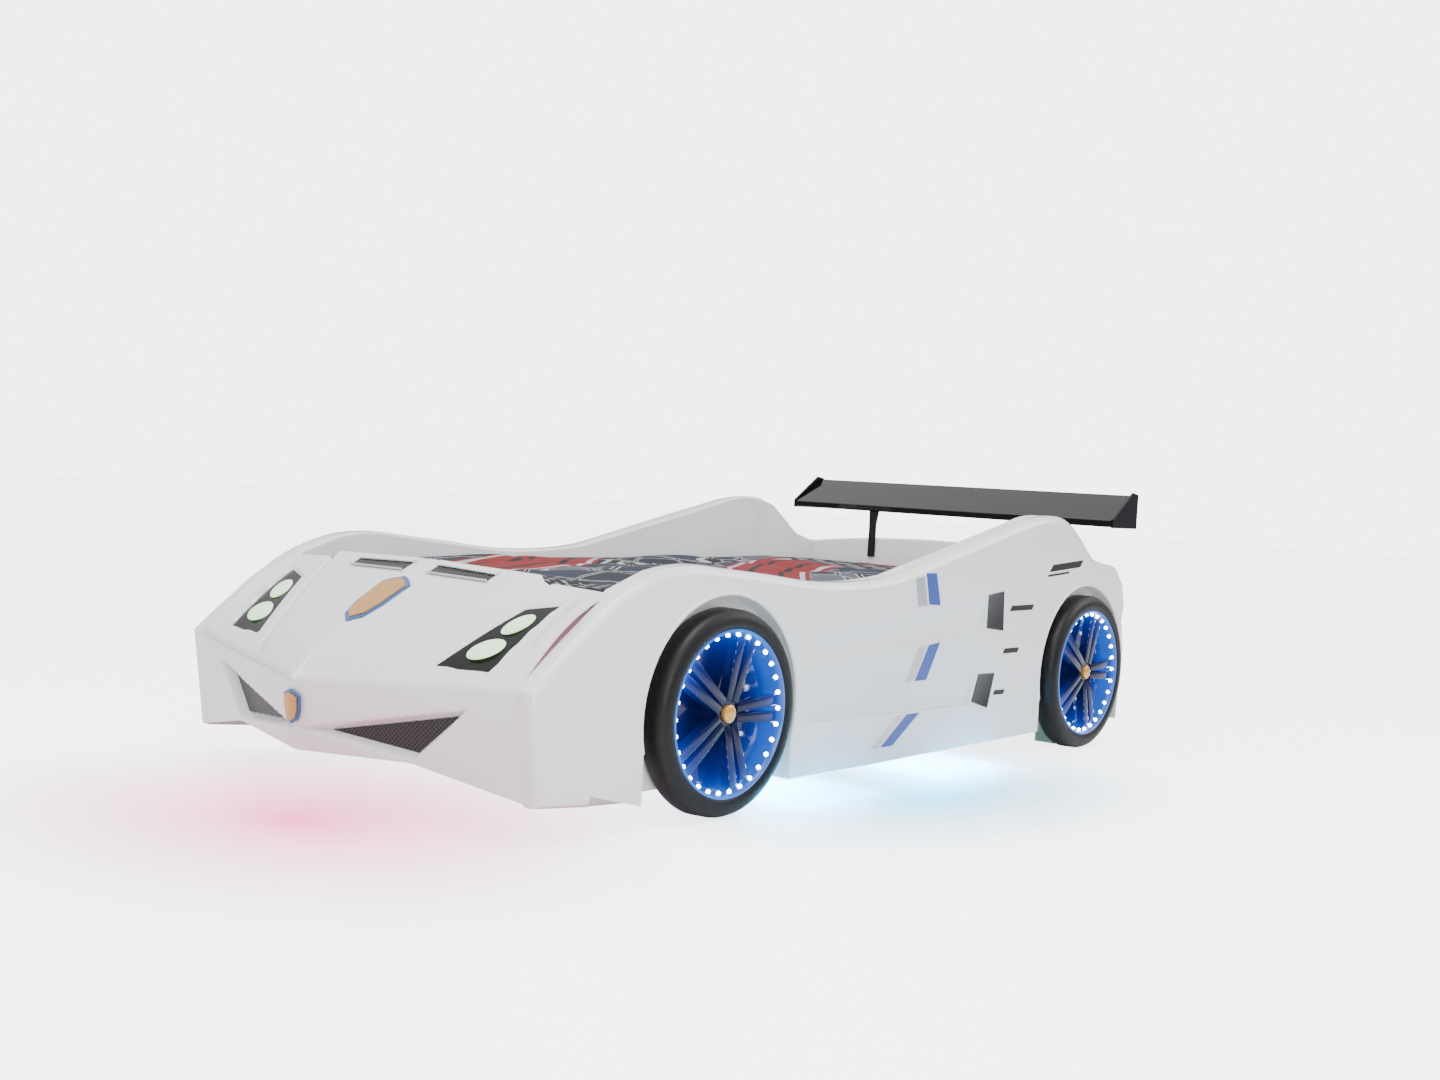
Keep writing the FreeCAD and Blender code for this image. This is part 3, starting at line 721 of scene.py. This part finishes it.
# Side stripes: slanted film stripes in blue beside bright silver, and plain dark bars
# that take the place of lettering.
blue_film = Finish("blue_film", (0.003, 0.055, 0.34), 0.18, coat=0.3)
blue_film.set("Roughness", blue_film.cloud(60.0) * 0.1 + 0.14)
dark_film = Finish("dark_film", (0.004, 0.004, 0.005), 0.3, shine=0.3)
dark_film.set("Roughness", dark_film.cloud(60.0) * 0.1 + 0.25)
STRIPES = (
    ("blue_high", blue_film, ((0.150, 0.392), (0.196, 0.389), (0.172, 0.462), (0.130, 0.462))),
    ("silver_high", bright_plate, ((0.104, 0.388), (0.142, 0.391), (0.122, 0.455), (0.088, 0.450))),
    ("blue_mid", blue_film, ((0.110, 0.222), (0.155, 0.222), (0.204, 0.305), (0.159, 0.300))),
    ("silver_mid", bright_plate, ((0.072, 0.222), (0.104, 0.222), (0.150, 0.299), (0.118, 0.297))),
    ("blue_low", blue_film, ((-0.010, 0.084), (0.034, 0.084), (0.135, 0.149), (0.086, 0.149))),
    ("silver_low", bright_plate, ((-0.048, 0.084), (-0.018, 0.084), (0.078, 0.149), (0.048, 0.149))),
    ("bar_a", dark_film, ((0.700, 0.462), (0.860, 0.474), (0.876, 0.492), (0.716, 0.480))),
    ("bar_a_thin", dark_film, ((0.690, 0.450), (0.800, 0.458), (0.804, 0.463), (0.694, 0.455))),
    ("bar_b", dark_film, ((0.512, 0.368), (0.620, 0.369), (0.630, 0.382), (0.522, 0.381))),
    ("bar_c", dark_film, ((0.491, 0.266), (0.560, 0.266), (0.568, 0.278), (0.499, 0.278))),
    ("bar_d", dark_film, ((0.457, 0.168), (0.505, 0.167), (0.511, 0.178), (0.463, 0.179))),
)
for word, side in (("left", 1), ("right", -1)):
    for name, film, corners in STRIPES:
        stripe = slab(f"{name}_{word}", corners, (flank_x - 0.0005) * side, 0.0016 * side)
        finish_piece(stripe, film.material, "bed", "black_trim" if film is dark_film else "badge_chrome")

# Wheels: a black tyre, a blue-lit black rim with five twin-ribbed spokes over a deep dish,
# a ring of thirty white lamps inside the rim and an amber centre cap.
tyre_rubber = Finish("tyre_rubber", (0.004, 0.004, 0.005), 0.42, shine=0.3)
tread = tyre_rubber.cloud(220.0)
tyre_rubber.set("Roughness", tread * 0.2 + 0.32)
tyre_rubber.bump(tread, 0.0006)
lamp_white = Finish("lamp_white", (0.9, 0.97, 1.0), 0.3)
lamp_white.set("Emission Color", lamp_white.mix(lamp_white.cloud(40.0), (0.6, 0.85, 1), (1, 1, 1)))
lamp_white.set("Emission Strength", 22)
cap_amber = Finish("cap_amber", (0.70, 0.36, 0.06), 0.25, metallic=0.4, coat=0.6)
cap_amber.bump(cap_amber.cloud(150.0), 0.0005)


def lit_rim(axle):
    """Black rim plastic with painted blue light from the lamps, brighter towards the rim's edge."""
    rim = Finish("rim_lit_%d" % round(axle * 1000), (0.001, 0.002, 0.012), 0.10, coat=0.2, shine=0.3)
    _, x, y, z = rim.place()
    out = (((y - axle) * (y - axle)) + ((z - hub_height) * (z - hub_height))).function("SQRT")
    # painted light: blue emission from the lamps, rising towards the rim's edge, patchy, with a bright ring
    # at the edge
    glow = (out / 0.155).function("POWER", 3.0)
    patchy_painted_light = rim.cloud(16.0)
    deep = rim.mix(glow * (patchy_painted_light * 1.3 + 0.25), (0.0, 0.002, 0.030), (0.0, 0.030, 0.50))
    rim.set("Emission Color", rim.mix((out / 0.158).function("POWER", 16.0) * 0.8, deep, (0.05, 0.30, 1.3)))
    rim.set("Emission Strength", 1.0)
    return rim.material


def turned(name, profile, steps=72):
    """A closed profile of (along, out) points spun once round the X axis."""
    bpy.ops.object.select_all(action="DESELECT")
    bpy.ops.mesh.primitive_circle_add(vertices=len(profile), fill_type="NOTHING")
    piece = bpy.context.object
    piece.name = name
    for vertex, (along_axle, out) in zip(piece.data.vertices, profile):
        vertex.co = (along_axle, 0, out)
    bpy.ops.object.mode_set(mode="EDIT")
    bpy.ops.mesh.select_all(action="SELECT")
    bpy.ops.mesh.spin(steps=steps, angle=math.tau, center=(0, 0, 0), axis=(1, 0, 0))
    bpy.ops.mesh.select_all(action="SELECT")
    bpy.ops.mesh.remove_doubles(threshold=0.00005)
    bpy.ops.mesh.normals_make_consistent(inside=False)
    bpy.ops.object.mode_set(mode="OBJECT")
    return piece


def mount_wheel(piece, side, axle):
    """Moves a piece made round the X axis onto its axle, mirrored for the far side."""
    for vertex in piece.data.vertices:
        x, y, z = vertex.co
        vertex.co = Vector((wheel_back * side + x * side, y + axle, z + hub_height))
    if side < 0:
        piece.data.flip_normals()


tyre_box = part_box("tyre_front_left")
wheel_back = tyre_box[0].x
SIDEWALL = (
    (0.002, 0.163), (0.000, 0.176), (0.001, 0.190), (0.005, 0.197), (0.012, 0.1998), (0.044, 0.1985),
    (0.052, 0.195), (0.057, 0.189), (0.0595, 0.180), (0.0600, 0.172), (0.0590, 0.166), (0.0560, 0.1615),
    (0.050, 0.160), (0.010, 0.160),
)
for end, axle in zip(("front", "rear"), axles):
    rim_paint = lit_rim(axle)
    for word, side in (("left", 1), ("right", -1)):
        tag = f"{end}_{word}"
        tyre = turned("wheel_tyre_" + tag, SIDEWALL, 96)
        mount_wheel(tyre, side, axle)
        finish_piece(tyre, tyre_rubber.material, "bed", "tyre_rubber", "tyre_" + tag, angle=50)
        dish = turned("wheel_dish_" + tag, (
            (-0.003, 0.010), (-0.003, 0.034), (0.003, 0.036), (0.003, 0.1595), (0.052, 0.1608),
            (0.0575, 0.1622), (0.0580, 0.1585), (0.054, 0.1545), (0.046, 0.1530), (0.020, 0.1500),
            (0.009, 0.1400), (0.009, 0.036), (0.046, 0.033), (0.046, 0.010),
        ))
        spokes = [dish]
        for step in range(5):
            turn = Matrix.Rotation(math.tau * step / 5 - math.radians(90), 3, "X")
            for rib in (-1, 1):
                bpy.ops.mesh.primitive_cube_add()
                bar = bpy.context.object
                for vertex in bar.data.vertices:
                    far = vertex.co.z > 0
                    out = 0.152 if far else 0.024
                    wide = (0.0120 if far else 0.0090) * vertex.co.y
                    middle = (0.0175 if far else 0.0095) * rib
                    front = 0.049 if far else 0.051
                    depth = front if vertex.co.x > 0 else front - 0.024
                    vertex.co = turn @ Vector((depth, middle + wide, out))
                soft = bar.modifiers.new("soft", "BEVEL")
                soft.width = 0.003
                soft.segments = 2
                bpy.ops.object.modifier_apply(modifier="soft")
                spokes.append(bar)
        bpy.ops.object.select_all(action="DESELECT")
        for part in spokes:
            part.select_set(True)
        bpy.context.view_layer.objects.active = dish
        bpy.ops.object.join()
        mount_wheel(dish, side, axle)
        finish_piece(dish, rim_paint, "bed", "rim_paint", "rim_" + tag, angle=40)
        dots = []
        for step in range(30):
            turn = Matrix.Rotation(math.tau * (step + 0.5) / 30, 3, "X")
            bpy.ops.mesh.primitive_ico_sphere_add(subdivisions=1, radius=0.0052)
            dot = bpy.context.object
            for vertex in dot.data.vertices:
                vertex.co = turn @ (vertex.co + Vector((0.0485, 0, 0.1515)))
            dots.append(dot)
        bpy.ops.object.select_all(action="DESELECT")
        for dot in dots:
            dot.select_set(True)
        bpy.context.view_layer.objects.active = dots[0]
        bpy.ops.object.join()
        dots[0].name = "wheel_lamps_" + tag
        mount_wheel(dots[0], side, axle)
        finish_piece(dots[0], lamp_white.material, "bed", "led_light", "light_ring_" + tag, angle=60)
        cap = turned("wheel_cap_" + tag, (
            (0.044, 0.0), (0.044, 0.017), (0.053, 0.017), (0.0555, 0.013), (0.057, 0.0),
        ))
        mount_wheel(cap, side, axle)
        finish_piece(cap, cap_amber.material, "bed", "cap_amber", "hub_cap_" + tag, angle=40)

# Rear wing: glossy black wing, end plates and two bent struts on the headboard.
wing_black = Finish("wing_black", (0.002, 0.002, 0.003), 0.05, coat=0.15, shine=0.22)
wing_black.set("Roughness", wing_black.cloud(14.0) * 0.05 + 0.04)
wing_black.bump(wing_black.cloud(5.0, 1.0), 0.001, 0.2)
paint_node("spoiler_wing", wing_black.material, 0.003)
for word in ("left", "right"):
    paint_node("spoiler_end_" + word, wing_black.material, 0.0015)
    paint_node("spoiler_strut_" + word, wing_black.material, 0.0015)

# Timber frame: planed softwood rails, beam and legs under two plywood boards.
softwood = Finish("softwood", (0.62, 0.45, 0.27), 0.6)
point = softwood.place()[0]
stretched = softwood.node("Mapping", {}, point, None, None, (9.0, 1.2, 9.0))
rings = softwood.node("TexNoise", {}, stretched, None, 6.0, 6.0)
softwood.set("Base Color", softwood.mix(rings, (0.48, 0.32, 0.17), (0.78, 0.60, 0.38)))
softwood.set("Roughness", rings * 0.2 + 0.5)
softwood.bump(rings, 0.0008)
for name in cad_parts:
    if "rail" in name or name.startswith(("leg_", "centre_beam", "base_board")):
        paint_node(name, softwood.material, 0.0015)

# Control box and power inlet: small black moulded parts at the tail.
moulded_black = Finish("moulded_black", (0.02, 0.02, 0.022), 0.5)
moulded_black.bump(moulded_black.cloud(400.0), 0.0004)
paint_node("control_box", moulded_black.material, 0.003)
paint_node("power_inlet", moulded_black.material)

# Mattress: finely woven white ticking over foam, with a crowned top and sides drawn in a little.
ticking = Finish("ticking", (0.82, 0.82, 0.80), 0.85)
_, mx, my, _ = ticking.place()
threads = (mx * 2400).function("SINE") * (my * 2400).function("SINE")
ticking.set("Base Color", ticking.mix(threads * 0.5 + 0.5, (0.74, 0.74, 0.72), (0.88, 0.88, 0.86)))
ticking.bump(threads, 0.0006)
low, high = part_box("mattress")
bpy.ops.object.select_all(action="DESELECT")
bpy.ops.mesh.primitive_cube_add()
mattress = bpy.context.object
mattress.name = "foam_mattress"
centre, half = (low + high) / 2, (high - low) / 2
for vertex in mattress.data.vertices:
    vertex.co = centre + Vector((vertex.co.x * half.x, vertex.co.y * half.y, vertex.co.z * half.z))
bpy.ops.object.mode_set(mode="EDIT")
bpy.ops.mesh.select_all(action="SELECT")
bpy.ops.mesh.subdivide(number_cuts=24)
bpy.ops.object.mode_set(mode="OBJECT")
for vertex in mattress.data.vertices:
    offset = vertex.co - centre
    edge_x = ease(half.x - abs(offset.x), 0.0, 0.05)
    edge_y = ease(half.y - abs(offset.y), 0.0, 0.05)
    if abs(offset.z) > half.z - 0.001:
        vertex.co.z -= math.copysign(0.010 * (1 - edge_x * edge_y), offset.z)
    pull = 0.006 * math.sin(math.pi * (offset.z / half.z + 1) / 2)
    if abs(offset.x) > half.x - 0.001:
        vertex.co.x -= math.copysign(pull, offset.x)
    if abs(offset.y) > half.y - 0.001:
        vertex.co.y -= math.copysign(pull, offset.y)
finish_piece(mattress, ticking.material, "mattress", "mattress_cloth", "mattress", angle=60)

# Quilt: a thin padded cover printed in navy, grey and red, laid flat over the mattress,
# with a checkered band at the head and rows of dashes at the foot.
print_cloth = Finish("print_cloth", (0.03, 0.05, 0.10), 0.75)
point, qx, qy, _ = print_cloth.place()
navy, black = (0.0015, 0.003, 0.012), (0.001, 0.001, 0.002)
grey, steel = (0.08, 0.09, 0.11), (0.008, 0.015, 0.036)
red, cloth_white = (0.20, 0.001, 0.003), (0.42, 0.42, 0.45)
cells = print_cloth.node("TexVoronoi", {"feature": "F1"}, point, None, 7.0, output=1)
cell_split = print_cloth.node("SeparateXYZ", {}, cells)
pick = Wire(print_cloth, cell_split.socket.node.outputs[0])
edges = print_cloth.node("TexVoronoi", {"feature": "DISTANCE_TO_EDGE"}, point, None, 7.0)
colour = print_cloth.mix(pick > 0.5, navy, steel)
colour = print_cloth.mix(pick > 0.78, colour, grey)
colour = print_cloth.mix(edges < 0.035, colour, cloth_white)
colour = print_cloth.mix(edges < 0.018, colour, black)
sweep = qx + (qy * 3.1).function("SINE") * 0.16 + qy * 0.30
band = (sweep * 9.5).function("SINE")
colour = print_cloth.mix(band > 0.30, colour, red)
colour = print_cloth.mix((band > 0.42) * (band < 0.55), colour, cloth_white)
colour = print_cloth.mix((band > 0.86) * (band < 0.93), colour, black)
checks = print_cloth.node("TexChecker", {}, point, (0.004, 0.004, 0.006, 1), (0.16, 0.17, 0.19, 1), 22.0)
colour = print_cloth.mix(((qy + qx * 0.25) > 0.62) * ((qy + qx * 0.25) < 0.86), colour, checks)
colour = print_cloth.mix(((qy + qx * 0.25) > 0.86) * ((qy + qx * 0.25) < 0.875), colour, red)
colour = print_cloth.mix(qy < -0.66, colour, black)
dash_rows = ((qy * 190).function("SINE") > 0.35) * ((qx * 170 + qy * 300).function("SINE") > 0.1)
colour = print_cloth.mix(dash_rows * (qy < -0.685), colour, (0.34, 0.36, 0.42))
print_cloth.set("Base Color", colour)
weave = (qx * 1900).function("SINE") * (qy * 1900).function("SINE")
print_cloth.bump(weave + print_cloth.cloud(30.0) * 4, 0.0005, 0.6)
low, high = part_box("quilt")
bpy.ops.object.select_all(action="DESELECT")
bpy.ops.mesh.primitive_cube_add()
quilt = bpy.context.object
quilt.name = "printed_quilt"
centre, half = (low + high) / 2, (high - low) / 2
for vertex in quilt.data.vertices:
    vertex.co = centre + Vector((vertex.co.x * half.x, vertex.co.y * half.y, vertex.co.z * half.z))
bpy.ops.object.mode_set(mode="EDIT")
bpy.ops.mesh.select_all(action="SELECT")
bpy.ops.mesh.subdivide(number_cuts=90)
bpy.ops.object.mode_set(mode="OBJECT")
for vertex in quilt.data.vertices:
    offset = vertex.co - centre
    if offset.z < half.z - 0.0005:
        continue
    edge = ease(min(half.x - abs(offset.x), half.y - abs(offset.y)), 0.0, 0.045)
    seam = min(abs(math.sin(offset.x * 11.5)), abs(math.sin(offset.y * 9.0)))
    puff = ease(seam, 0.0, 0.45)
    wrinkle = noise.noise(Vector((offset.x * 5, offset.y * 3.4, 1.7)))
    vertex.co.z += 0.006 * puff * edge + 0.010 * wrinkle * edge - 0.012 * (1 - edge)
finish_piece(quilt, print_cloth.material, "quilt", "quilt_print", "quilt", angle=60)
